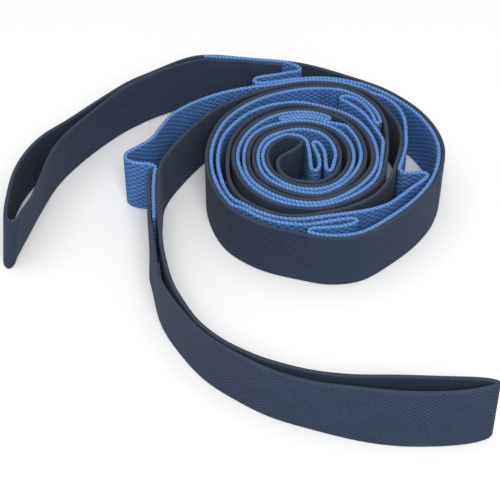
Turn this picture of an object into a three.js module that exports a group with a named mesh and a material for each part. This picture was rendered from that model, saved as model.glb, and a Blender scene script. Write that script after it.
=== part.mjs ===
// Multi-loop stretching strap, coiled and standing on its woven edges. Millimetres, +Z up.
// One black backing web runs from handle A, round the coil to the fold in its middle, and back
// out to handle B. A blue web is sewn to it at every seam and is a little longer between seams,
// which makes the row of grip loops. Each end of the backing is turned back as a handle.
import * as THREE from 'three';

// Driving dimensions
const WIDTH = 38; // of the webbing, which is the height of the coil
const THICK = 2.2; // of one web
const PITCH = 2.75; // between the middles of two webs that lie together
const SEAM = 9; // stitched length of a grip-loop seam
const GAP = 0.3; // between pieces that meet face to face
const HINGE_GAP = 3; // room left in the webs where the strap bends
const HANDLE_SEAM_A = 54; // stitched length that closes handle A
const HANDLE_SEAM_B = 45; // stitched length that closes handle B

// Where the strap bends between its seams, seen from above. The handles also bend at their seams.
const HANDLE_A_END_HINGE = [-106, 86.5];
const LEAD_B_HINGE = [-20, 96.5];
const HANDLE_B_END_HINGE = [2.5, -118.5];

// How a route is divided
const FINE_STEPS = 24; // points between two chosen points of a route
const LONGEST_STEP = 9;
const LARGEST_TURN = THREE.MathUtils.degToRad(11);
const GUIDE_STEP = 6; // spacing of points taken from another route

// A smooth line in plan: fine points, each with its left-hand normal and distance along the line.
function route(points) {
  const corners = points.map(([x, y]) => new THREE.Vector3(x, y, 0));
  const curve = new THREE.CatmullRomCurve3(corners, false, 'centripetal');
  const fine = curve.getPoints((points.length - 1) * FINE_STEPS);
  let distance = 0;
  return fine.map((point, i) => {
    const before = fine[Math.max(i - 1, 0)];
    const after = fine[Math.min(i + 1, fine.length - 1)];
    const tangent = after.clone().sub(before).normalize();
    distance += i ? point.distanceTo(fine[i - 1]) : 0;
    return { x: point.x, y: point.y, nx: -tangent.y, ny: tangent.x, s: distance };
  });
}

// The point of a line at a distance along it.
function at(line, s) {
  let i = 1;
  while (i < line.length - 1 && line[i].s < s) i++;
  const a = line[i - 1];
  const b = line[i];
  const t = (s - a.s) / (b.s - a.s);
  const mix = (key) => a[key] + (b[key] - a[key]) * t;
  return { x: mix('x'), y: mix('y'), nx: mix('nx'), ny: mix('ny'), s };
}

// The distance along a line at which it passes closest to a place, between two distances.
function passes(line, [x, y], from = 0, to = Infinity) {
  const near = line.filter((p) => p.s >= from && p.s <= to);
  const gap = (p) => Math.hypot(p.x - x, p.y - y);
  return near.reduce((best, p) => (gap(p) < gap(best) ? p : best)).s;
}

const lengthOf = (line) => line[line.length - 1].s;

// Points beside a line, to lead another web along it. Left of the line is positive.
function beside(line, offset, from, to) {
  const count = Math.max(1, Math.round(Math.abs(to - from) / GUIDE_STEP));
  return Array.from({ length: count + 1 }, (unused, i) => {
    const p = at(line, from + ((to - from) * i) / count);
    return [p.x + p.nx * offset, p.y + p.ny * offset];
  });
}

// The stations of a web between two distances, closer together where the line turns.
function stations(line, from, to) {
  const picked = [at(line, from)];
  let turned = 0;
  let previous = picked[0];
  for (const point of line) {
    if (point.s <= from || point.s >= to) continue;
    turned += Math.abs(Math.asin(previous.nx * point.ny - previous.ny * point.nx));
    previous = point;
    const last = picked[picked.length - 1];
    if (turned < LARGEST_TURN && point.s - last.s < LONGEST_STEP) continue;
    if (to - point.s < 0.4) break;
    picked.push(point);
    turned = 0;
  }
  picked.push(at(line, to));
  return picked;
}

const webbing = (color, roughness) => new THREE.MeshStandardMaterial({ color, roughness, metalness: 0 });
const black = webbing(0x303a4d, 0.9);
const blue = webbing(0x3c69b9, 0.85);
const sewn = webbing(0x35507f, 0.9);

const strap = new THREE.Group();
const upright = () => [0, 0];

// A straight bar of webbing bent along a line. Inner and outer are the sides of the bar, measured
// to the left of the line, and lean gives how far the top edge stands away from the bottom edge.
function web(name, material, line, from, to, options = {}) {
  const { inner = -THICK / 2, outer = THICK / 2, lean = upright } = options;
  const places = stations(line, from, to);
  const steps = places.length - 1;
  const geometry = new THREE.BoxGeometry(1, outer - inner, WIDTH, steps, 1, 1);
  const position = geometry.attributes.position;
  for (let i = 0; i < position.count; i++) {
    const place = places[Math.round((position.getX(i) + 0.5) * steps)];
    const side = position.getY(i) + (inner + outer) / 2;
    const height = position.getZ(i) + WIDTH / 2;
    const [leanX, leanY] = lean(place.x, place.y);
    const share = height / WIDTH;
    const x = place.x + place.nx * side + leanX * share;
    const y = place.y + place.ny * side + leanY * share;
    position.setXYZ(i, x, y, height);
  }
  const mesh = new THREE.Mesh(geometry, material);
  mesh.name = name;
  strap.add(mesh);
}

// The backing web. Half A runs from the far end of handle seam A and half B from the near end of
// handle seam B, both clockwise and inwards. They meet in the fold, where the backing turns back on itself.
const backA = route([
  [-21, 154], [10, 150.5], [44, 144.5], [74, 130.5], [102, 112.5], [123, 86], [131.5, 56], [126, 26],
  [114, 5], [96, -14], [76, -29], [58, -32], [40, -28], [16, -19], [-4, -2], [-15, 25], [-16.5, 54],
  [-7, 84], [14, 106], [44, 118], [70, 117.5], [81, 111.5], [88, 104], [93.3, 95], [96.8, 82], [97.3, 68],
  [95.5, 46], [89.2, 21], [70.6, 2.2], [48, -5.6], [26, -1], [7.5, 16], [-0.5, 44], [6, 69], [24, 88], [46, 93],
  [68, 84], [80, 64], [81.5, 40], [71, 18.6], [53, 6.4], [33, 10.3], [16.5, 24.5], [12.5, 48], [19.5, 65],
  [40, 74.5], [56, 70.5], [64.5, 58], [66, 41], [61, 26], [51, 19], [42.5, 19.8],
]);
const backB = route([
  [-44, -14], [-46, 18], [-45, 37], [-35, 60], [-15, 90], [10, 109.5], [40, 121.5], [58, 122.8],
  [71, 120.5], [84, 114], [91.4, 107], [96.6, 98.3], [101, 89.5], [105, 79], [106.6, 66], [104.8, 52],
  [101, 38], [96, 23], [84, 5.5], [67, -5], [54, -9.2], [43, -11.6], [32.5, -11.8], [22.5, -8.9],
  [12.5, -3], [4, 5.5], [-1.8, 18], [-4, 38], [-1, 63], [13, 86],
  [36, 98], [58, 93], [76, 81], [85.5, 61], [85.5, 36], [73.3, 16.2], [52, 3], [31, 6.5], [13, 23], [9, 46],
  [14.5, 65], [28, 75], [46, 78], [62, 71], [71, 56], [71, 37], [62.5, 21.5], [51, 15.5], [36, 18],
  [23.8, 30.5], [20.8, 46.5], [25.5, 58], [34.5, 63.8],
]);

const fold = [
  [36.5, 21.2], [31.4, 24.8], [28.2, 30.5], [27.2, 36.5], [28.2, 41.8], [32.5, 46.5], [37.6, 50.7],
  [41.4, 55.2], [43, 58.4], [42.4, 60.9], [39.4, 62.6],
];

// Distances of the seams along each half, the handle seams first
const seamsA = [0, 231, 397, 563, 743, 934, 1103];
const seamsB = [0, 224, 401, 577, 750, 923];
const halfSeam = SEAM / 2;

// A grip-loop seam: the black and the blue web sewn flat together.
function gripSeam(name, line, s, side) {
  const blueSide = side * (PITCH + THICK / 2);
  const blackSide = (-side * THICK) / 2;
  const options = { inner: Math.min(blueSide, blackSide), outer: Math.max(blueSide, blackSide) };
  web(name, sewn, line, s - halfSeam, s + halfSeam, options);
}
const INSIDE = -1; // blue lies right of half A
const OUTSIDE = 1; // and left of half B
seamsA.slice(1).forEach((s, i) => gripSeam(`seam_a${i + 1}`, backA, s, INSIDE));
seamsB.slice(1).forEach((s, i) => gripSeam(`seam_b${i + 1}`, backB, s, OUTSIDE));

// The handle seams: backing, blue web end and turned-back backing sewn together.
const threeLayers = 2 * PITCH + THICK / 2;
web('handle_seam_a', sewn, backA, 0, HANDLE_SEAM_A, { inner: -threeLayers, outer: THICK / 2 });
web('handle_seam_b', sewn, backB, 0, HANDLE_SEAM_B, { inner: -THICK / 2, outer: threeLayers });

// Backing between the seams
const margin = halfSeam + GAP;
const leadB = passes(backB, LEAD_B_HINGE);
web('backing_a1', black, backA, HANDLE_SEAM_A + GAP, seamsA[1] - margin);
for (let i = 1; i < 6; i++) web(`backing_a${i + 1}`, black, backA, seamsA[i] + margin, seamsA[i + 1] - margin);
web('backing_b1_lead', black, backB, HANDLE_SEAM_B + GAP, leadB - HINGE_GAP / 2);
web('backing_b1', black, backB, leadB + HINGE_GAP / 2, seamsB[1] - margin);
for (let i = 1; i < 5; i++) web(`backing_b${i + 1}`, black, backB, seamsB[i] + margin, seamsB[i + 1] - margin);

// The middle of the backing, from the last seam of half A round the fold to the last of half B
const middle = route([
  ...beside(backA, 0, seamsA[6] + margin, lengthOf(backA)),
  ...fold,
  ...beside(backB, 0, lengthOf(backB), seamsB[5] + margin),
]);
web('backing_middle', black, middle, 0, lengthOf(middle));

// Grip loops. Each lies against the backing, and its spare length stands away or is folded.
const besideA = (from, to) => beside(backA, -PITCH, from, to);
const besideB = (from, to) => beside(backB, PITCH, from, to);
const whole = (name, line) => web(name, blue, line, 0, lengthOf(line));

whole('grip_loop_a1', route([
  ...besideA(HANDLE_SEAM_A + GAP, HANDLE_SEAM_A + 5), [42.8, 140.9], [44.2, 138.4], [42, 136], [37, 134.8],
  [27, 131.9], [18.5, 129.8], [14.4, 128.2], [12.8, 125.5], [14.2, 122.9], [19, 122.6], [27, 124],
  [35, 126], [44, 127.4], [57, 128.4], [69, 126.9], ...besideA(114, seamsA[1] - margin),
]));
whole('grip_loop_a2', route([
  ...besideA(seamsA[1] + margin, passes(backA, [53, -31.5])), [46.8, -27.2], [44.4, -25.5], [45.4, -23.5],
  [53.5, -22.3], [63, -21.2], [70, -18.9], [73, -16.4], [71.8, -14.3], [66, -14.6], [54, -17.4],
  [42.5, -19.6], [31.5, -18.5], [22.5, -16], [14, -11.6], [6.3, -5.5],
  ...besideA(passes(backA, [-2.5, -3.6]), seamsA[2] - margin),
]));
whole('grip_loop_a3', route(besideA(seamsA[2] + margin, seamsA[3] - margin)));
whole('grip_loop_a4', route([
  ...besideA(seamsA[3] + margin, passes(backA, [96.5, 84])), [93.9, 79.4], [92.2, 78.4], [91, 80.2],
  [89.4, 88], [86, 96.5], [82, 102.5], [77.3, 106.4], [72.8, 107.9], [70, 106.3], [70.6, 103.6],
  [74.6, 100.2], [80, 94.4], [84.6, 87.6], [88, 79.6], [90.6, 72.6],
  ...besideA(passes(backA, [96.9, 60]), seamsA[4] - margin),
]));
whole('grip_loop_a5', route([
  ...besideA(seamsA[4] + margin, passes(backA, [56, 91])), [60.2, 85.4], [61.8, 83.8], [60.4, 82.2],
  [52.2, 86], [45.5, 87.3], [37, 86.2], [31.8, 84.8], [29.4, 83.2], [31.4, 81.8], [37.2, 83.3],
  [45.6, 84.4], [53, 82.8], [60, 79.2], [66.2, 77.6], ...besideA(passes(backA, [75, 77]), seamsA[5] - margin),
]));
whole('grip_loop_a6', route(besideA(seamsA[5] + margin, seamsA[6] - margin)));

const loopB1 = route([
  ...besideB(HANDLE_SEAM_B + GAP, HANDLE_SEAM_B + 1.5), [-49.4, 34.9], [-52.8, 36.6], [-58, 37.2],
  [-64, 38.8], [-67.6, 42.4], [-67.6, 46.6], [-64.3, 50.6], [-58.6, 55.6], [-52.4, 62.4], [-46.8, 75],
  [-41, 86.8], [-33.8, 94.6], [-25, 101.6], [-9.6, 110.6], [10, 117.4], [26.5, 120.6], [38, 123.6],
  ...besideB(passes(backB, [50, 122.6]), seamsB[1] - margin),
]);
const loopB1Bend = passes(loopB1, LEAD_B_HINGE);
web('grip_loop_b1_lead', blue, loopB1, 0, loopB1Bend - HINGE_GAP / 2);
web('grip_loop_b1', blue, loopB1, loopB1Bend + HINGE_GAP / 2, lengthOf(loopB1));
whole('grip_loop_b2', route([
  ...besideB(seamsB[1] + margin, seamsB[1] + margin + 1), [97.6, 107.6], [103.6, 101.2], [107.8, 93],
  [109.7, 84], [110, 76], ...besideB(passes(backB, [106.6, 66]), passes(backB, [101, 39])),
  [102.4, 31.5], [104.6, 28.2], [111, 28],
  [116.8, 28.3], [119, 26], [116.4, 21.8], [109.5, 15], [100.5, 5.6], [93.8, -0.7], [84.5, -5.4], [75, -8.2],
  [66, -10], [54, -12.3], ...besideB(passes(backB, [43, -11.6]), seamsB[2] - margin),
]));
whole('grip_loop_b3', route([
  ...besideB(seamsB[2] + margin, passes(backB, [14, -4.2])), [5.6, -1], [0.2, 3.2], [-5, 12.8], [-9.6, 34],
  [-9.9, 47], [-7.4, 63], [0.5, 78.6], [11, 90.4], [23.5, 97.6], ...besideB(passes(backB, [40, 98]), seamsB[3] - margin),
]));
whole('grip_loop_b4', route(besideB(seamsB[3] + margin, seamsB[4] - margin)));
whole('grip_loop_b5', route(besideB(seamsB[4] + margin, seamsB[5] - margin)));
const loopMiddle = route([
  ...besideA(seamsA[6] + margin, passes(backA, [66.2, 45])), [61.8, 36.5], [60.7, 32], [59.1, 30.4], [57.5, 32],
  [57, 36.5], [57.1, 42], [56.6, 49], [54.8, 55.2], [52.6, 58.4], [50.8, 58.9], [49.8, 57.2], [50.6, 53],
  [52.3, 47], [53.2, 40], [52.8, 34], [51.2, 30.9], [49.4, 30.4], [48, 32.8], [47.6, 39], [47.4, 46],
  [47, 52], [46.4, 57], [45.3, 61], [43.2, 63.7], [39.9, 65.4],
  ...besideB(lengthOf(backB), seamsB[5] + margin),
]);

// The middle loop is folded three times, and is divided between its folds and after the last.
const betweenFolds = [[57.1, 42], [53, 43], [47.5, 43]].map((place) => passes(loopMiddle, place));
const loopMiddleEnds = [-GAP / 2, ...betweenFolds, lengthOf(loopMiddle) + GAP / 2];
for (let i = 1; i < loopMiddleEnds.length; i++) {
  const from = loopMiddleEnds[i - 1] + GAP / 2;
  web(`grip_loop_middle_${i}`, blue, loopMiddle, from, loopMiddleEnds[i] - GAP / 2);
}

// Handle A: out along the back, round the end and in along the front. It leans towards the coil,
// the front less than the back, so that their top edges meet on the way to the seam.
const { smoothstep } = THREE.MathUtils;
const HANDLE_A_CENTRE = [10, 20];
function towardsCentre(x, y, amount) {
  const away = Math.hypot(HANDLE_A_CENTRE[0] - x, HANDLE_A_CENTRE[1] - y);
  return [((HANDLE_A_CENTRE[0] - x) / away) * amount, ((HANDLE_A_CENTRE[1] - y) / away) * amount];
}
function leanHandleA(x, y) {
  const insideEnd = smoothstep(x, -140, -131) * smoothstep(-y, -60, 0);
  return towardsCentre(x, y, 5 * smoothstep(-x, 25, 65) + 5 * insideEnd);
}
function leanFrontA(x, y) {
  return towardsCentre(x, y, 1.3 * smoothstep(-x, 25, 65) + 3.7 * smoothstep(-x, 66, 103));
}
const handleA = route([
  [-21, 154], [-38.5, 149], [-59, 138.2], [-73.5, 127.5], [-93, 106], [-111, 84], [-126.5, 66], [-135.8, 47.5],
  [-140.2, 26.5], [-140.8, 5.5], [-140.3, -8], [-139, -15.6], [-136.6, -18.4], [-134.9, -16], [-133.8, -9],
  [-129.6, 9.3], [-124.2, 32], [-115.7, 59.8], [-100.7, 86.5], [-77, 116], [-60, 130], [-42, 140.6], [-21, 148.5],
]);
const halfway = passes(handleA, [-136.6, -18.4]);
const backBendA = passes(handleA, HANDLE_A_END_HINGE, 0, halfway);
const frontBendA = passes(handleA, HANDLE_A_END_HINGE, halfway);
const halfGap = HINGE_GAP / 2;
const leaningA = { lean: leanHandleA };
web('handle_a_back', black, handleA, HINGE_GAP, backBendA - halfGap, leaningA);
web('handle_a_end', black, handleA, backBendA + halfGap, frontBendA - halfGap, leaningA);
web('handle_a_front', black, handleA, frontBendA + halfGap, lengthOf(handleA) - HINGE_GAP, { lean: leanFrontA });

// Handle B: out along the back, round the end and in along the front, which leans back at the end.
function leanHandleB(x, y) {
  return [0, 5 * smoothstep(-y, 139, 150) * smoothstep(x, 20, 85)];
}
const handleB = route([
  [-44, -14], [-42.4, -26], [-40.8, -39], [-38.9, -49], [-34.2, -67.5], [-27.3, -83], [-18.3, -98.5],
  [-5, -112.3], [12.5, -123.6], [26, -129.5], [42, -134.5], [62, -137.5], [88, -138], [110, -138.9], [129, -139.8],
  [135.4, -141.2], [138.6, -144.4], [137.2, -148], [132, -150.6], [122, -152.9], [104, -154.2], [86, -153.6],
  [68, -150.4], [42.5, -142.4], [21.3, -134.1], [3.5, -122.9], [-13.6, -108.9], [-26.4, -92.4], [-40, -67.5],
  [-47, -39.4], [-49.6, -27], [-49.5, -14],
]);
const halfwayB = passes(handleB, [138.6, -144.4]);
const backBendB = passes(handleB, HANDLE_B_END_HINGE, 0, halfwayB);
const frontBendB = passes(handleB, HANDLE_B_END_HINGE, halfwayB);
const leaningB = { lean: leanHandleB };
web('handle_b_back', black, handleB, HINGE_GAP, backBendB - halfGap, leaningB);
web('handle_b_end', black, handleB, backBendB + halfGap, frontBendB - halfGap, leaningB);
web('handle_b_front', black, handleB, frontBendB + halfGap, lengthOf(handleB) - HINGE_GAP, leaningB);

export default strap;
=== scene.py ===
"""Stretching strap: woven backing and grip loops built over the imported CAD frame.

Routes are plan views in millimetres, repeated from the CAD part, and every mesh is written in metres.
"""
import math

import bpy
import numpy as np
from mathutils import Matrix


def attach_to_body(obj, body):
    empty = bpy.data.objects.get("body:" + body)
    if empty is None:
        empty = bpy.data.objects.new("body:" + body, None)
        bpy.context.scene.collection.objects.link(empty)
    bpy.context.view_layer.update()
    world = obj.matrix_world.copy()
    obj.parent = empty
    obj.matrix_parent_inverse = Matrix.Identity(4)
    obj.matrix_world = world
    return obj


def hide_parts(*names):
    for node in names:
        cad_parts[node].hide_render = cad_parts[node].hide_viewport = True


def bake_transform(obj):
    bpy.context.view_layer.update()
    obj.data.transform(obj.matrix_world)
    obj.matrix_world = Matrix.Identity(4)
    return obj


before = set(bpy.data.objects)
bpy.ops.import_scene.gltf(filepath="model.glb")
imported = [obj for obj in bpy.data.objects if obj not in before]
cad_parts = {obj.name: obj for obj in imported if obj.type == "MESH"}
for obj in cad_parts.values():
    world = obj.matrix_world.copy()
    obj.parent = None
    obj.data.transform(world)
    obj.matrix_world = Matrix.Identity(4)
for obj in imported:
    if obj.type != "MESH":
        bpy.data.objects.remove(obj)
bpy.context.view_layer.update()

MM = 0.001
WIDTH = 38.0  # of the webbing
THICK = 2.3  # of one web
PITCH = 2.75  # between the middles of two webs that lie together
SEAM_A = 54.0  # length of the handle seams
SEAM_B = 45.0
FINE_STEPS = 48  # points between two chosen points of a route
GUIDE_STEP = 6.0  # spacing of points taken from another route
SEARCH_MARGIN = 60.0  # how far past a stretch a place on it is looked for
LONGEST_LOOP = 420.0  # no grip loop takes more webbing than this

# The weaves: length and height of one raised yarn, its relief, the depth of the woven edge and its slant
# from face to face, and the mesh steps along and up the web
BLUE_WEAVE = {"along": 2.6, "up": 3.4, "relief": 0.17, "edge": 0.30, "slant": 0.6, "step": 0.65, "rise": 0.85}
BLACK_WEAVE = {"along": 1.8, "up": 2.2, "relief": 0.05, "edge": 0.18, "slant": 0.3, "step": 0.9, "rise": 0.74}
HIDDEN_RISE = 2.2  # coarser mesh height where turns of the coil hide the face


# ---- lines in plan -------------------------------------------------------------------------------

class Line:
    """A smooth line through chosen points, with its length and left-hand normals."""

    def __init__(self, points):
        self.points = np.array(points, float)
        self.xy = centripetal(self.points)
        steps = np.hypot(*np.diff(self.xy, axis=0).T)
        self.s = np.concatenate([[0.0], np.cumsum(steps)])
        tangent = np.gradient(self.xy, self.s, axis=0)
        tangent /= np.hypot(*tangent.T)[:, None]
        self.normal = np.stack([-tangent[:, 1], tangent[:, 0]], axis=1)
        self.length = self.s[-1]

    def at(self, s):
        """Places and unit normals at distances s."""
        place = np.stack([np.interp(s, self.s, self.xy[:, k]) for k in (0, 1)], axis=-1)
        normal = np.stack([np.interp(s, self.s, self.normal[:, k]) for k in (0, 1)], axis=-1)
        normal /= np.linalg.norm(normal, axis=-1, keepdims=True)
        return place, normal

    def passes(self, place, start=0.0, stop=math.inf):
        """The distance along the line, between start and stop, at which it is nearest to a place."""
        gap = np.hypot(self.xy[:, 0] - place[0], self.xy[:, 1] - place[1])
        gap[(self.s < start) | (self.s > stop)] = math.inf
        return float(self.s[gap.argmin()])

    def beside(self, offset, start, stop):
        """Points beside the line, left of it for a positive offset, to lead another web along it."""
        count = max(1, round(abs(stop - start) / GUIDE_STEP))
        place, normal = self.at(np.linspace(start, stop, count + 1))
        return (place + normal * offset).tolist()


def centripetal(points):
    """A centripetal Catmull-Rom curve through points, with straight run-outs at its ends."""
    run = np.vstack([2 * points[0] - points[1], points, 2 * points[-1] - points[-2]])
    u = (np.arange(FINE_STEPS) / FINE_STEPS)[:, None]
    fine = []
    for a, b, c, d in zip(run, run[1:], run[2:], run[3:]):
        ab, bc, cd = (max(np.linalg.norm(q - p), 1e-6) ** 0.5 for p, q in ((a, b), (b, c), (c, d)))
        leave = ((b - a) / ab - (c - a) / (ab + bc) + (c - b) / bc) * bc
        arrive = ((c - b) / bc - (d - b) / (bc + cd) + (d - c) / cd) * bc
        fine.append(
            (2 * u**3 - 3 * u**2 + 1) * b + (u**3 - 2 * u**2 + u) * leave
            + (3 * u**2 - 2 * u**3) * c + (u**3 - u**2) * arrive
        )
    return np.vstack(fine + [points[-1:]])


def smoothstep(value, low, high):
    t = np.clip((value - low) / (high - low), 0, 1)
    return t * t * (3 - 2 * t)


# Half A of the backing runs from the far end of handle seam A and half B from the near end of handle
# seam B, both clockwise and inwards to the fold in the middle.
BACK_A = [
    (-21, 154), (10, 150.5), (44, 144.5), (74, 130.5), (102, 112.5), (123, 86), (131.5, 56), (126, 26),
    (114, 5), (96, -14), (76, -29), (58, -32), (40, -28), (16, -19), (-4, -2), (-15, 25), (-16.5, 54),
    (-7, 84), (14, 106), (44, 118), (70, 117.5), (81, 111.5), (88, 104), (93.3, 95), (96.8, 82), (97.3, 68),
    (95.5, 46), (89.2, 21), (70.6, 2.2), (48, -5.6), (26, -1), (7.5, 16), (-0.5, 44), (6, 69), (24, 88),
    (46, 93), (68, 84), (80, 64), (81.5, 40), (71, 18.6), (53, 6.4), (33, 10.3), (16.5, 24.5), (12.5, 48),
    (19.5, 65), (40, 74.5), (56, 70.5), (64.5, 58), (66, 41), (61, 26), (51, 19), (42.5, 19.8),
]
BACK_B = [
    (-44, -14), (-46, 18), (-45, 37), (-35, 60), (-15, 90), (10, 109.5), (40, 121.5), (58, 122.8),
    (71, 120.5), (84, 114), (91.4, 107), (96.6, 98.3), (101, 89.5), (105, 79), (106.6, 66), (104.8, 52),
    (101, 38), (96, 23), (84, 5.5), (67, -5), (54, -9.2), (43, -11.6), (32.5, -11.8), (22.5, -8.9),
    (12.5, -3), (4, 5.5), (-1.8, 18), (-4, 38), (-1, 63), (13, 86),
    (36, 98), (58, 93), (76, 81), (85.5, 61), (85.5, 36), (73.3, 16.2), (52, 3), (31, 6.5), (13, 23), (9, 46),
    (14.5, 65), (28, 75), (46, 78), (62, 71), (71, 56), (71, 37), (62.5, 21.5), (51, 15.5), (36, 18),
    (23.8, 30.5), (20.8, 46.5), (25.5, 58), (34.5, 63.8),
]
# The fold in the middle, from the end of half A to the end of half B
FOLD = [
    (36.5, 21.2), (31.4, 24.8), (28.2, 30.5), (27.2, 36.5), (28.2, 41.8), (32.5, 46.5), (37.6, 50.7),
    (41.4, 55.2), (43, 58.4), (42.4, 60.9), (39.4, 62.6),
]
HANDLE_A = [
    (-21, 154), (-38.5, 149), (-59, 138.2), (-73.5, 127.5), (-93, 106), (-111, 84), (-126.5, 66),
    (-135.8, 47.5), (-140.2, 26.5), (-140.8, 5.5), (-140.3, -8), (-139, -15.6), (-136.6, -18.4),
    (-134.9, -16), (-133.8, -9), (-129.6, 9.3), (-124.2, 32), (-115.7, 59.8), (-100.7, 86.5), (-77, 116),
    (-60, 130), (-42, 140.6), (-21, 148.5),
]
HANDLE_B = [
    (-44, -14), (-42.4, -26), (-40.8, -39), (-38.9, -49), (-34.2, -67.5), (-27.3, -83), (-18.3, -98.5),
    (-5, -112.3), (12.5, -123.6), (26, -129.5), (42, -134.5), (62, -137.5), (88, -138), (110, -138.9),
    (129, -139.8), (135.4, -141.2), (138.6, -144.4), (137.2, -148), (132, -150.6), (122, -152.9),
    (104, -154.2), (86, -153.6), (68, -150.4), (42.5, -142.4), (21.3, -134.1), (3.5, -122.9), (-13.6, -108.9),
    (-26.4, -92.4), (-40, -67.5), (-47, -39.4), (-49.6, -27), (-49.5, -14),
]
back_a = Line(BACK_A)
back_b = Line(BACK_B)

# Distances of the grip-loop seams along each half
SEAMS_A = [231, 397, 563, 743, 934, 1103]
SEAMS_B = [224, 401, 577, 750, 923]

# Where a grip loop stands away from the backing or is folded, in the order of the coil inwards
FREE_A1 = [
    (42.8, 140.9), (44.2, 138.4), (42, 136), (37, 134.8), (27, 131.9), (18.5, 129.8), (14.4, 128.2),
    (12.8, 125.5), (14.2, 122.9), (19, 122.6), (27, 124), (35, 126), (44, 127.4), (57, 128.4), (69, 126.9),
]
FREE_A2 = [
    (46.8, -27.2), (44.4, -25.5), (45.4, -23.5), (53.5, -22.3), (63, -21.2), (70, -18.9), (73, -16.4),
    (71.8, -14.3), (66, -14.6), (54, -17.4), (42.5, -19.6), (31.5, -18.5), (22.5, -16), (14, -11.6),
    (6.3, -5.5),
]
FREE_A4 = [
    (93.9, 79.4), (92.2, 78.4), (91, 80.2), (89.4, 88), (86, 96.5), (82, 102.5), (77.3, 106.4),
    (72.8, 107.9), (70, 106.3), (70.6, 103.6), (74.6, 100.2), (80, 94.4), (84.6, 87.6), (88, 79.6),
    (90.6, 72.6),
]
FREE_A5 = [
    (60.2, 85.4), (61.8, 83.8), (60.4, 82.2), (52.2, 86), (45.5, 87.3), (37, 86.2), (31.8, 84.8),
    (29.4, 83.2), (31.4, 81.8), (37.2, 83.3), (45.6, 84.4), (53, 82.8), (60, 79.2), (66.2, 77.6),
]
FREE_MIDDLE = [
    (61.8, 36.5), (60.7, 32), (59.1, 30.4), (57.5, 32), (57, 36.5), (57.1, 42), (56.6, 49), (54.8, 55.2),
    (52.6, 58.4), (50.8, 58.9), (49.8, 57.2), (50.6, 53), (52.3, 47), (53.2, 40), (52.8, 34), (51.2, 30.9),
    (49.4, 30.4), (48, 32.8), (47.6, 39), (47.4, 46), (47, 52), (46.4, 57), (45.3, 61), (43.2, 63.7),
    (39.9, 65.4),
]
FREE_B3 = [
    (5.6, -1), (0.2, 3.2), (-5, 12.8), (-9.6, 34), (-9.9, 47), (-7.4, 63), (0.5, 78.6), (11, 90.4),
    (23.5, 97.6),
]
FREE_B2_LOWER = [
    (102.4, 31.5), (104.6, 28.2), (111, 28), (116.8, 28.3), (119, 26), (116.4, 21.8), (109.5, 15),
    (100.5, 5.6), (93.8, -0.7), (84.5, -5.4), (75, -8.2), (66, -10), (54, -12.3),
]
FREE_B2_UPPER = [(97.6, 107.6), (103.6, 101.2), (107.8, 93), (109.7, 84), (110, 76)]
FREE_B1 = [
    (-49.4, 34.9), (-52.8, 36.6), (-58, 37.2), (-64, 38.8), (-67.6, 42.4), (-67.6, 46.6), (-64.3, 50.6),
    (-58.6, 55.6), (-52.4, 62.4), (-46.8, 75), (-41, 86.8), (-33.8, 94.6), (-25, 101.6), (-9.6, 110.6),
    (10, 117.4), (26.5, 120.6), (38, 123.6),
]


def black_route():
    """The whole backing, from one turned-back end to the other, and where its stretches start."""
    parts = {
        "return_a": back_a.beside(-2 * PITCH, SEAM_A, 5),
        "handle_a": HANDLE_A[::-1],
        "half_a": BACK_A[1:],
        "fold": FOLD,
        "half_b": BACK_B[::-1],
        "handle_b": HANDLE_B[1:],
        "return_b": back_b.beside(2 * PITCH, 5, SEAM_B),
    }
    points = []
    first = {}
    for name, stretch in parts.items():
        first[name] = len(points)
        points += [tuple(p) for p in stretch]
    line = Line(points)
    return line, {name: float(line.s[i * FINE_STEPS]) for name, i in first.items()}


def blue_route():
    """The whole blue web, from its end in handle seam A round the coil to its end in handle seam B."""

    def near_a(start, stop):
        return back_a.beside(-PITCH, start, stop)

    def near_b(start, stop):
        return back_b.beside(PITCH, start, stop)

    a, b = back_a.passes, back_b.passes
    return Line(
        near_a(0, SEAM_A + 5) + FREE_A1 + near_a(114, a((53, -31.5))) + FREE_A2
        + near_a(a((-2.5, -3.6)), a((96.5, 84))) + FREE_A4 + near_a(a((96.9, 60)), a((56, 91))) + FREE_A5
        + near_a(a((75, 77)), a((66.2, 45))) + FREE_MIDDLE + near_b(back_b.length, b((40, 98)))
        + FREE_B3[::-1] + near_b(b((14, -4.2)), b((43, -11.6))) + FREE_B2_LOWER[::-1]
        + near_b(b((101, 39)), b((106.6, 66))) + FREE_B2_UPPER[::-1]
        + near_b(SEAMS_B[0] + 6, b((50, 122.6))) + FREE_B1[::-1] + near_b(SEAM_B + 1.5, 0)
    )


black, black_start = black_route()
blue = blue_route()


def along_black(half, s):
    """The place on the whole backing of a distance along one of its halves."""
    if half == "a":
        line, start, stop = back_a, black_start["half_a"] - SEARCH_MARGIN, black_start["half_b"]
    else:
        line = back_b
        start = black_start["half_b"] - SEARCH_MARGIN
        stop = black_start["handle_b"] + SEARCH_MARGIN
    return black.passes(line.at(np.array([s]))[0][0], start, stop)


def along_blue(place, start):
    """The place on the blue web nearest to a point of a half, past a distance already reached."""
    return blue.passes(place, start, start + LONGEST_LOOP)


# ---- how the webs stand --------------------------------------------------------------------------

LEAN_CENTRE_A = np.array([10.0, 20.0])
LEAN = 5.0  # how far the top edge stands off at most
LEAN_FRONT_A = 1.3  # the same on the near part of handle A's front
COIL_RADIUS = 95.0  # everything further from the lean centre is on a handle
CLOSING_B = 2.2  # how far the top edge of handle B's front moves at its root


def lean_at_root_b(place):
    """The top edge of handle B's front closes on its back where they leave the seam."""
    depth = -place[:, 1]
    closing = CLOSING_B * smoothstep(depth, 14, 24) * (1 - smoothstep(depth, 26, 66))
    return np.stack([closing, np.zeros_like(closing)], axis=1)


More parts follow.
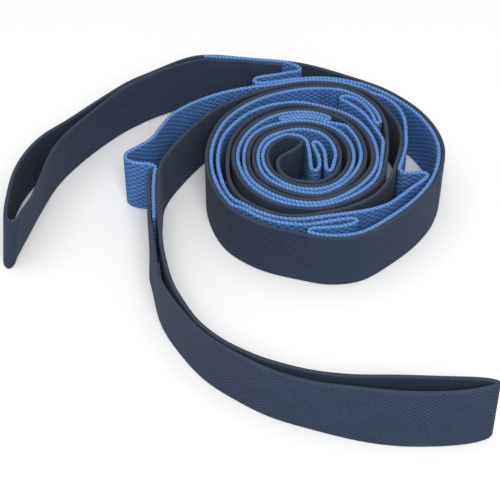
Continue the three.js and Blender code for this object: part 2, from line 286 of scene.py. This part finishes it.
def lean(place, upright_front=False):
    """How far the top edge stands away from the bottom edge: towards the coil on handle A, less so on the
    near part of its front, and backwards on the front of handle B."""
    x, y = place[:, 0], place[:, 1]
    towards = LEAN_CENTRE_A - place
    towards = towards / np.linalg.norm(towards, axis=1, keepdims=True)
    front = smoothstep(x, -140, -131) * smoothstep(-y, -60, 0)
    outside = LEAN * smoothstep(-x, 25, 65)
    if upright_front:
        outside = LEAN_FRONT_A * smoothstep(-x, 25, 65) + (LEAN - LEAN_FRONT_A) * smoothstep(-x, 66, 103)
    outside = outside * (np.hypot(*(place - LEAN_CENTRE_A).T) > COIL_RADIUS) * (y > -30)
    on_handle_a = (outside + LEAN * front * (x < -100))[:, None] * towards
    front_b = smoothstep(-y, 139, 150) * smoothstep(x, 20, 85)
    on_handle_b = np.stack([np.zeros_like(x), LEAN * front_b], axis=1)
    return on_handle_a + on_handle_b


EDGE_ROUND = 0.95  # radius of the woven edge
EDGE_ANGLES = np.radians([36, 90, 144])
THREAD_PULL = 0.28  # how far a row of stitches draws a face in, and over what distance
THREAD_SPREAD = 0.9
CUT_THINNING = 0.25  # share of its thickness that a web loses at a cut end
CUT_SPREAD = 0.5


def ring_profile(rise):
    """Heights, sideways shares (-1 to 1) and face shares of the points round a web's section."""
    rows = max(4, round((WIDTH - 2 * EDGE_ROUND) / rise))
    face = np.linspace(EDGE_ROUND, WIDTH - EDGE_ROUND, rows + 1)
    top = WIDTH - EDGE_ROUND + EDGE_ROUND * np.sin(EDGE_ANGLES)
    bottom = EDGE_ROUND - EDGE_ROUND * np.sin(EDGE_ANGLES)
    round_side = np.cos(EDGE_ANGLES)
    height = np.concatenate([face, top, face[::-1], bottom])
    side = np.concatenate([np.ones_like(face), round_side, -np.ones_like(face), -round_side])
    flat = np.concatenate([np.ones_like(face), np.zeros(3), np.ones_like(face), np.zeros(3)])
    return rows + 1, height, side, flat


def section_steps(start, stop, step):
    """Distances from start to stop, on whole steps of the route so that the weave runs on."""
    inner = np.arange(math.ceil(start / step + 0.3), math.floor(stop / step - 0.3) + 1) * step
    return np.concatenate([[start], inner, [stop]])


def woven_web(
    name, line, start, stop, weave, material, hidden=False, rows_of_thread=(), lift=None, ends=(0, 0),
    upright_front=False, root_b=False,
):
    """A closed mesh of webbing along a stretch of a line. hidden leaves out the weave's relief, lift raises
    the web, ends says which of its ends are cut, and the last two choose how it leans on a handle."""
    faces, height, side, flat = ring_profile(HIDDEN_RISE if hidden else weave["rise"])
    s = section_steps(start, stop, weave["step"])
    place, normal = line.at(s)
    n, m = len(s), len(height)
    slanted = s[:, None] + weave["slant"] * side[None]
    yarn = np.cos(math.pi * slanted / weave["along"]) * np.cos(2 * math.pi * height / weave["up"])[None]
    if hidden:
        yarn = np.zeros((n, m))
    out = THICK / 2 * side[None] + weave["relief"] * yarn * side[None] * flat[None]
    for row in rows_of_thread:
        pull = THREAD_PULL * np.exp(-(((s - row) / THREAD_SPREAD) ** 2))
        out -= pull[:, None] * side[None] * flat[None]
    scallop = (0.5 - 0.5 * np.cos(2 * math.pi * slanted / weave["along"])) * weave["edge"]
    top = smoothstep(height, WIDTH - 1.5, WIDTH)[None]
    bottom = smoothstep(-height, -1.5, 0)[None]
    z = height[None] - scallop * top + (scallop + 0.1) * bottom
    if lift is not None:
        z = z + lift(s)[:, None]
    cut = np.zeros(n)
    if ends[0]:
        cut += np.exp(-(((s - start) / CUT_SPREAD) ** 2))
    if ends[1]:
        cut += np.exp(-(((s - stop) / CUT_SPREAD) ** 2))
    out = out * (1 - CUT_THINNING * cut[:, None])
    tilt = lean(place, upright_front) + (lean_at_root_b(place) if root_b else 0)
    x = place[:, 0:1] + normal[:, 0:1] * out + tilt[:, 0:1] * z / WIDTH
    y = place[:, 1:2] + normal[:, 1:2] * out + tilt[:, 1:2] * z / WIDTH
    vertices = np.stack([x, y, z], axis=-1).reshape(-1, 3) * MM

    ring = np.arange(m)
    following = (ring + 1) % m
    i = np.arange(n - 1)[:, None] * m
    quads = np.stack([i + ring, i + following, i + m + following, i + m + ring], axis=-1).reshape(-1, 4)
    left = np.arange(faces)
    right = faces + 3 + (faces - 1 - left)
    ladder = np.stack([left[:-1], right[:-1], right[1:], left[1:]], axis=-1)
    last = (n - 1) * m
    caps = np.vstack([ladder, (ladder + last)[:, ::-1]])
    top_cap = [faces - 1, faces + 3, faces + 2, faces + 1, faces]
    bottom_cap = [0, m - 1, m - 2, m - 3, right[0]]
    rounds = [top_cap, bottom_cap, [last + k for k in top_cap[::-1]], [last + k for k in bottom_cap[::-1]]]
    u = slanted.ravel() / 10
    v = np.tile(height, n) / 10
    return mesh_object(name, vertices, quads, caps, rounds, u, v, material)


def mesh_object(name, vertices, quads, caps, rounds, u, v, material):
    """A Blender object from its vertices, side quads, end quads and rounded end faces.

    The rim of each end is sharp.
    """
    corners = np.concatenate([quads.ravel(), caps.ravel(), np.array(rounds).ravel()]).astype(np.int32)
    sizes = np.concatenate([np.full(len(quads) + len(caps), 4), np.full(len(rounds), 5)]).astype(np.int32)
    mesh = bpy.data.meshes.new(name)
    mesh.vertices.add(len(vertices))
    mesh.vertices.foreach_set("co", vertices.astype(np.float32).ravel())
    mesh.loops.add(len(corners))
    mesh.loops.foreach_set("vertex_index", corners)
    mesh.polygons.add(len(sizes))
    mesh.polygons.foreach_set("loop_start", np.concatenate([[0], np.cumsum(sizes)[:-1]]).astype(np.int32))
    smooth = np.zeros(len(sizes), bool)
    smooth[: len(quads)] = True
    mesh.update(calc_edges=True)
    mesh.polygons.foreach_set("use_smooth", smooth)
    edges = np.empty(len(corners), np.int32)
    mesh.loops.foreach_get("edge_index", edges)
    sharp = np.zeros(len(mesh.edges), bool)
    sharp[edges[quads.size:]] = True
    mesh.edges.foreach_set("use_edge_sharp", sharp)
    uv = mesh.uv_layers.new(name="web")
    uv.data.foreach_set("uv", np.stack([u[corners], v[corners]], axis=-1).astype(np.float32).ravel())
    mesh.validate()
    mesh.update()
    obj = bpy.data.objects.new(name, mesh)
    obj.data.materials.append(material)
    bpy.context.scene.collection.objects.link(obj)
    return obj


# ---- materials -----------------------------------------------------------------------------------

class Nodes:
    """Short ways to add nodes to a material."""

    def __init__(self, name):
        self.material = bpy.data.materials.new(name)
        self.material.use_nodes = True
        self.tree = self.material.node_tree
        self.shader = self.tree.nodes["Principled BSDF"]

    def link(self, value, socket):
        if isinstance(value, bpy.types.NodeSocket):
            self.tree.links.new(value, socket)
        else:
            socket.default_value = value

    def add(self, kind, settings=None, output=0, **inputs):
        node = self.tree.nodes.new(kind)
        for key, value in (settings or {}).items():
            setattr(node, key, value)
        for key, value in inputs.items():
            self.link(value, node.inputs[key.replace("_", " ")])
        return node.outputs[output]

    def math(self, operation, a, b=0.0, c=0.0, clamp=False):
        node = self.tree.nodes.new("ShaderNodeMath")
        node.operation = operation
        node.use_clamp = clamp
        for socket, value in zip(node.inputs, (a, b, c)):
            self.link(value, socket)
        return node.outputs[0]

    def mix(self, factor, a, b):
        node = self.tree.nodes.new("ShaderNodeMix")
        node.data_type = "RGBA"
        self.link(factor, node.inputs[0])
        self.link(a, node.inputs[6])
        self.link(b, node.inputs[7])
        return node.outputs[2]

    def noise(self, vector, scale, detail=2.0):
        return self.add("ShaderNodeTexNoise", Vector=vector, Scale=scale, Detail=detail)


def webbing(name, weave, painted_groove_shade, yarn, painted_crest_highlight, edge, contrast):
    """Woven webbing: grooves between raised yarns, fibres on them, patchy dye and a beaded woven edge, with
    painted shade darkening the grooves, painted highlight lightening the crests and a woven edge coloured
    lighter as painted highlight.
    One unit of the web's own map is a centimetre of webbing, and contrast is how strongly the painted shade
    and highlight on the yarns show."""
    n = Nodes(name)
    web = n.add("ShaderNodeUVMap", {"uv_map": "web"})
    wander = n.noise(web, 3.2, 2.0)
    split = n.tree.nodes.new("ShaderNodeSeparateXYZ")
    n.link(web, split.inputs[0])
    along = n.math("MULTIPLY_ADD", n.math("SUBTRACT", wander, 0.5), 0.10, split.outputs[0])
    up = n.math("MULTIPLY_ADD", n.math("SUBTRACT", wander, 0.5), 0.12, split.outputs[1])
    wave_along = n.math("COSINE", n.math("MULTIPLY", along, math.pi * 10 / weave["along"]))
    wave_up = n.math("COSINE", n.math("MULTIPLY", up, 2 * math.pi * 10 / weave["up"]))
    raised = n.math("MULTIPLY_ADD", n.math("MULTIPLY", wave_along, wave_up), 0.5, 0.5)
    stretched = n.add("ShaderNodeMapping", Vector=web, Scale=(5.0, 30.0, 1.0))
    fibres = n.noise(stretched, 1.7, 3.0)
    dye = n.noise(web, 0.9, 3.0)
    fleck = n.noise(web, 11.0, 2.0)
    height = n.math("MULTIPLY_ADD", n.math("SUBTRACT", fibres, 0.5), 0.7, raised)
    relief_and_flecks = n.math("MULTIPLY_ADD", n.math("SUBTRACT", fleck, 0.5), 1.5, height)
    # Painted shade and highlight: the hollows between the yarns are coloured darker and the raised yarns
    # lighter, with random flecks mixed in.
    shade = n.math("MULTIPLY_ADD", n.math("SUBTRACT", relief_and_flecks, 0.5), contrast, 0.5, clamp=True)
    dark_side = n.mix(n.math("MULTIPLY", shade, 2.0, clamp=True), painted_groove_shade, yarn)
    body = n.mix(n.math("MULTIPLY_ADD", shade, 2.0, -1.0, clamp=True), dark_side, painted_crest_highlight)
    # The woven edge, top and bottom, is coloured lighter in beads along it: painted highlight where light
    # falls on the edge that faces up.
    from_middle = n.math("ABSOLUTE", n.math("SUBTRACT", split.outputs[1], WIDTH / 20))
    at_edge = n.math("MULTIPLY", n.math("SUBTRACT", from_middle, WIDTH / 20 - 0.15), 12.0, clamp=True)
    turns = n.math("COSINE", n.math("MULTIPLY", split.outputs[0], 2 * math.pi * 10 / weave["along"]))
    bead = n.math("MULTIPLY_ADD", turns, 0.42, n.math("MULTIPLY_ADD", fleck, 1.0, 0.10), clamp=True)
    beaded = n.mix(bead, yarn, edge)
    body = n.mix(at_edge, body, beaded)
    darker = n.add("ShaderNodeHueSaturation", Color=body, Value=0.86)
    colour = n.mix(n.math("MULTIPLY_ADD", dye, 2.4, -0.7, clamp=True), darker, body)
    n.link(colour, n.shader.inputs["Base Color"])
    n.link(n.math("MULTIPLY_ADD", height, -0.08, 0.95), n.shader.inputs["Roughness"])
    n.shader.inputs["Specular IOR Level"].default_value = 0.08
    n.shader.inputs["Sheen Weight"].default_value = 0.04
    n.shader.inputs["Sheen Roughness"].default_value = 0.5
    bump = n.tree.nodes.new("ShaderNodeBump")
    bump.inputs["Strength"].default_value = 0.5
    bump.inputs["Distance"].default_value = 0.00016
    n.link(relief_and_flecks, bump.inputs["Height"])
    n.link(bump.outputs[0], n.shader.inputs["Normal"])
    return n.material


def thread(name, colour):
    """Twisted sewing thread."""
    n = Nodes(name)
    place = n.add("ShaderNodeTexCoord", output=3)
    twist = n.noise(place, 2600.0, 1.0)
    dark = tuple(0.6 * c for c in colour[:3]) + (1.0,)
    n.link(n.mix(twist, dark, colour), n.shader.inputs["Base Color"])
    n.shader.inputs["Roughness"].default_value = 0.6
    n.shader.inputs["Sheen Weight"].default_value = 0.15
    return n.material


def rgb(r, g, b):
    return (r, g, b, 1.0)


# The groove colours are painted shade in the weave's hollows, the crest colours painted highlight on the
# raised yarns and the lighter edge colours painted highlight on the woven edge.
black_webbing = webbing(
    "black webbing", BLACK_WEAVE, painted_groove_shade=rgb(0.020, 0.031, 0.059), yarn=rgb(0.028, 0.043, 0.078),
    painted_crest_highlight=rgb(0.052, 0.070, 0.106), edge=rgb(0.056, 0.066, 0.092), contrast=0.75,
)
blue_webbing = webbing(
    "blue webbing", BLUE_WEAVE, painted_groove_shade=rgb(0.026, 0.075, 0.235), yarn=rgb(0.056, 0.148, 0.385),
    painted_crest_highlight=rgb(0.120, 0.270, 0.560), edge=rgb(0.150, 0.300, 0.620), contrast=0.95,
)
sewing_thread = thread("sewing thread", rgb(0.024, 0.034, 0.062))

# ---- riding the bodies and hiding the CAD nodes --------------------------------------------------


def attach(obj, bodies, replaced):
    """Rides an object on its one body, or bakes its transform where it spans two, and hides the CAD nodes it
    stands for.
    """
    if len(bodies) == 1:
        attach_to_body(obj, bodies[0])
    else:
        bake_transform(obj)
    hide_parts(*replaced)


# ---- the backing ---------------------------------------------------------------------------------

THREAD_ROWS = (-3.0, 0.0, 3.0)  # rows of stitches across a grip-loop seam
cuts_a = [along_black("a", s) for s in SEAMS_A]
cuts_b = [along_black("b", s) for s in SEAMS_B]
tip_a = black.passes((-136.6, -18.4))
tip_b = black.passes((138.6, -144.4))
front_a = black.passes((-66, 125.5), 0, tip_a)
back_a_split = black.passes((-68, 132), tip_a, black_start["half_a"])
lead_split = along_black("b", 62)
back_b_split = black.passes((-33, -70), black_start["handle_b"], tip_b)
front_b_split = black.passes((-38.5, -70), tip_b)


def raised_at_seam_a(s):
    """The turned-back end of handle A stands a little above the backing at the seam."""
    return 1.2 * smoothstep(-s, -150, -40)


def rows_at(*middles):
    return [middle + row for middle in middles for row in THREAD_ROWS]


def black_web(name, start, stop, bodies, replaced, **options):
    obj = woven_web(name, black, start, stop, BLACK_WEAVE, black_webbing, **options)
    attach(obj, bodies, replaced)


black_web(
    "handle_a_front_web", 0, front_a, ("coil", "handle_a"), ["handle_a_front"], ends=(1, 0),
    lift=raised_at_seam_a, upright_front=True,
)
black_web(
    "handle_a_front_tip_web", front_a, tip_a, ("handle_a", "handle_a_end"), ["handle_a_end"],
    upright_front=True,
)
black_web("handle_a_back_tip_web", tip_a, back_a_split, ("handle_a", "handle_a_end"), ["handle_a_end"])
end_of_seam_a = along_black("a", SEAM_A)
black_web("handle_a_back_web", back_a_split, end_of_seam_a, ("coil", "handle_a"), ["handle_a_back"])
starts = [end_of_seam_a] + cuts_a
for i in range(6):
    name = f"backing_a{i + 1}"
    rows = rows_at(starts[i + 1]) + (rows_at(starts[i]) if i else [])
    black_web(name + "_web", starts[i], starts[i + 1], ("coil",), [name], rows_of_thread=rows, hidden=i > 2)
black_web(
    "backing_middle_web", cuts_a[5], cuts_b[4], ("coil",), ["backing_middle"],
    rows_of_thread=rows_at(cuts_a[5], cuts_b[4]),
)
for i in range(4, 0, -1):
    name = f"backing_b{i + 1}"
    rows = rows_at(cuts_b[i], cuts_b[i - 1])
    black_web(name + "_web", cuts_b[i], cuts_b[i - 1], ("coil",), [name], rows_of_thread=rows, hidden=i > 1)
black_web(
    "backing_b1_web", cuts_b[0], lead_split, ("coil", "lead_b"), ["backing_b1", "backing_b1_lead"],
    rows_of_thread=rows_at(cuts_b[0]),
)
black_web("handle_b_back_web", lead_split, back_b_split, ("lead_b", "handle_b"), ["handle_b_back"])
black_web("handle_b_back_tip_web", back_b_split, tip_b, ("handle_b", "handle_b_end"), ["handle_b_end"])
black_web("handle_b_front_tip_web", tip_b, front_b_split, ("handle_b", "handle_b_end"), ["handle_b_end"])
black_web(
    "handle_b_front_web", front_b_split, black.length, ("lead_b", "handle_b"), ["handle_b_front"],
    ends=(0, 1), root_b=True,
)

# ---- the grip loops ------------------------------------------------------------------------------

seam_places = [back_a.at(np.array([s])) for s in SEAMS_A]
seam_places = [(p + q * -PITCH)[0] for p, q in seam_places]
inner_places = [back_b.at(np.array([s])) for s in SEAMS_B[::-1]]
seam_places += [(p + q * PITCH)[0] for p, q in inner_places]
marks = [0.0]
for place in seam_places:
    marks.append(along_blue(place, marks[-1] + 90))
marks.append(blue.length)

LOOPS = [f"grip_loop_a{i}" for i in range(1, 7)] + ["grip_loop_middle"]
LOOPS += [f"grip_loop_b{i}" for i in range(5, 0, -1)]
OPEN_LOOPS = {"grip_loop_a1", "grip_loop_a2", "grip_loop_a3", "grip_loop_a4", "grip_loop_middle"}
OPEN_LOOPS |= {"grip_loop_b1", "grip_loop_b2", "grip_loop_b3", "grip_loop_a5"}


def stands_proud(s):
    """The end of the blue web shows above handle seam A."""
    return 2.0 * smoothstep(-s, -70, -52)


for name, start, stop in zip(LOOPS, marks, marks[1:]):
    rows = [r for r in rows_at(start, stop) if 0 < r < blue.length]
    ends = (name == "grip_loop_a1", name == "grip_loop_b1")
    obj = woven_web(
        name + "_web", blue, start, stop, BLUE_WEAVE, blue_webbing, hidden=name not in OPEN_LOOPS,
        rows_of_thread=rows, lift=stands_proud if name == "grip_loop_a1" else None, ends=ends,
    )
    if name == "grip_loop_b1":
        attach(obj, ("coil", "lead_b"), [name, name + "_lead"])
    elif name == "grip_loop_middle":
        attach(obj, ("coil",), [f"{name}_{i}" for i in range(1, 5)])
    else:
        attach(obj, ("coil",), [name])

# ---- stitching -----------------------------------------------------------------------------------

THREAD = 0.5  # diameter
STITCH = 2.6
STITCH_SIDES = 6


def stitches(name, line, runs, body, node):
    """Rows of short stitches lying on the faces of a seam. A run is (s, z) to (s, z) on one side of the
    line: how far out, then its two ends."""
    vertices = []
    quads = []
    for out, (s0, z0), (s1, z1) in runs:
        count = max(1, round(math.hypot(s1 - s0, z1 - z0) / (STITCH + 0.5)))
        for k in range(count):
            share = np.linspace(k + 0.08, k + 0.92, 6) / count
            s = s0 + (s1 - s0) * share
            z = z0 + (z1 - z0) * share
            bow = np.sin(np.linspace(0, math.pi, 6))
            place, normal = line.at(s)
            tilt = lean(place) * (z / WIDTH)[:, None]
            direction = math.copysign(1, out)
            centre = place + normal * (out + direction * 0.22 * (bow - 0.6))[:, None] + tilt
            middle = np.column_stack([centre, z])
            along = np.gradient(middle, axis=0)
            along /= np.linalg.norm(along, axis=1, keepdims=True)
            outward = np.column_stack([normal, np.zeros(6)])
            across = np.cross(along, outward)
            radius = THREAD / 2 * (0.35 + 0.65 * bow)[:, None]
            base = len(vertices)
            for ring in range(6):
                for side in range(STITCH_SIDES):
                    angle = 2 * math.pi * side / STITCH_SIDES
                    offset = math.cos(angle) * outward[ring] + math.sin(angle) * across[ring]
                    vertices.append((middle[ring] + offset * radius[ring]) * MM)
            for ring in range(5):
                for side in range(STITCH_SIDES):
                    a = base + ring * STITCH_SIDES + side
                    b = base + ring * STITCH_SIDES + (side + 1) % STITCH_SIDES
                    quads.append((a, b, b + STITCH_SIDES, a + STITCH_SIDES))
            quads.append(tuple(base + side for side in range(STITCH_SIDES))[::-1])
            quads.append(tuple(base + 5 * STITCH_SIDES + side for side in range(STITCH_SIDES)))
    mesh = bpy.data.meshes.new(name)
    mesh.from_pydata([tuple(v) for v in vertices], [], quads)
    mesh.polygons.foreach_set("use_smooth", [True] * len(mesh.polygons))
    mesh.update()
    obj = bpy.data.objects.new(name, mesh)
    obj.data.materials.append(sewing_thread)
    bpy.context.scene.collection.objects.link(obj)
    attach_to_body(obj, body)
    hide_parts(node)


EDGE_MARGIN = 3.0  # from the web's edge to the nearest stitch
OUTSIDE = THICK / 2 - 0.1


def grip_seam_runs(s, side):
    """Three rows across the width, on the black face and on the blue one."""
    for row in THREAD_ROWS:
        for out in (-side * OUTSIDE, side * (PITCH + OUTSIDE)):
            yield out, (s + row, EDGE_MARGIN), (s + row, WIDTH - EDGE_MARGIN)


def box_runs(start, stop, out):
    """A sewn box with a cross in it."""
    low, high = EDGE_MARGIN, WIDTH - EDGE_MARGIN
    corners = [(start, low), (stop, low), (stop, high), (start, high)]
    for a, b in zip(corners, corners[1:] + corners[:1]):
        yield out, a, b
    yield out, corners[0], corners[2]
    yield out, corners[1], corners[3]


for i, s in enumerate(SEAMS_A):
    stitches(f"stitching_a{i + 1}", back_a, grip_seam_runs(s, -1), "coil", f"seam_a{i + 1}")
for i, s in enumerate(SEAMS_B):
    stitches(f"stitching_b{i + 1}", back_b, grip_seam_runs(s, 1), "coil", f"seam_b{i + 1}")
reach = 2 * PITCH + OUTSIDE
runs_a = list(box_runs(4, SEAM_A - 5, OUTSIDE)) + list(box_runs(4, SEAM_A - 5, -reach))
runs_b = list(box_runs(4, SEAM_B - 5, -OUTSIDE)) + list(box_runs(4, SEAM_B - 5, reach))
stitches("handle_a_stitching", back_a, runs_a, "coil", "handle_seam_a")
stitches("handle_b_stitching", back_b, runs_b, "lead_b", "handle_seam_b")

# ---- floor, light and camera ---------------------------------------------------------------------


def floor():
    mesh = bpy.data.meshes.new("floor")
    half = 3.0
    corners = [(-half, -half, 0), (half, -half, 0), (half, half, 0), (-half, half, 0)]
    mesh.from_pydata(corners, [], [(0, 1, 2, 3)])
    obj = bpy.data.objects.new("floor", mesh)
    n = Nodes("pale floor")
    n.shader.inputs["Base Color"].default_value = rgb(0.93, 0.93, 0.93)
    n.shader.inputs["Roughness"].default_value = 0.9
    n.shader.inputs["Specular IOR Level"].default_value = 0.1
    obj.data.materials.append(n.material)
    bpy.context.scene.collection.objects.link(obj)


def area_light(name, place, aim, size, power):
    light = bpy.data.lights.new(name, "AREA")
    light.shape = "DISK"
    light.size = size
    light.energy = power
    obj = bpy.data.objects.new(name, light)
    obj.location = place
    direction = np.array(aim) - np.array(place)
    yaw = math.atan2(direction[1], direction[0]) - math.pi / 2
    pitch = math.atan2(np.hypot(direction[0], direction[1]), -direction[2])
    obj.rotation_euler = (pitch, 0, yaw)
    bpy.context.scene.collection.objects.link(obj)


ELEVATION = math.radians(43)
DISTANCE = 0.78
TARGET = (0.010, -0.002, 0.0)


def camera():
    data = bpy.data.cameras.new("camera")
    data.sensor_width = 36
    data.lens = 90.9
    data.clip_start = 0.01
    obj = bpy.data.objects.new("camera", data)
    back = DISTANCE * math.cos(ELEVATION)
    obj.location = (TARGET[0], TARGET[1] - back, TARGET[2] + DISTANCE * math.sin(ELEVATION))
    obj.rotation_euler = (math.pi / 2 - ELEVATION, 0, 0)
    bpy.context.scene.collection.objects.link(obj)
    bpy.context.scene.camera = obj


floor()
area_light("overhead", (-0.3, 0.1, 1.7), (0, 0, 0), 2.0, 6)
area_light("near the camera", (0.15, -1.15, 1.25), (0, 0, 0), 0.9, 18.6)
camera()
world = bpy.data.worlds.new("studio")
world.use_nodes = True
world.node_tree.nodes["Background"].inputs[0].default_value = rgb(1, 1, 1)
world.node_tree.nodes["Background"].inputs[1].default_value = 0.60
bpy.context.scene.world = world
bpy.context.scene.view_settings.view_transform = "Standard"
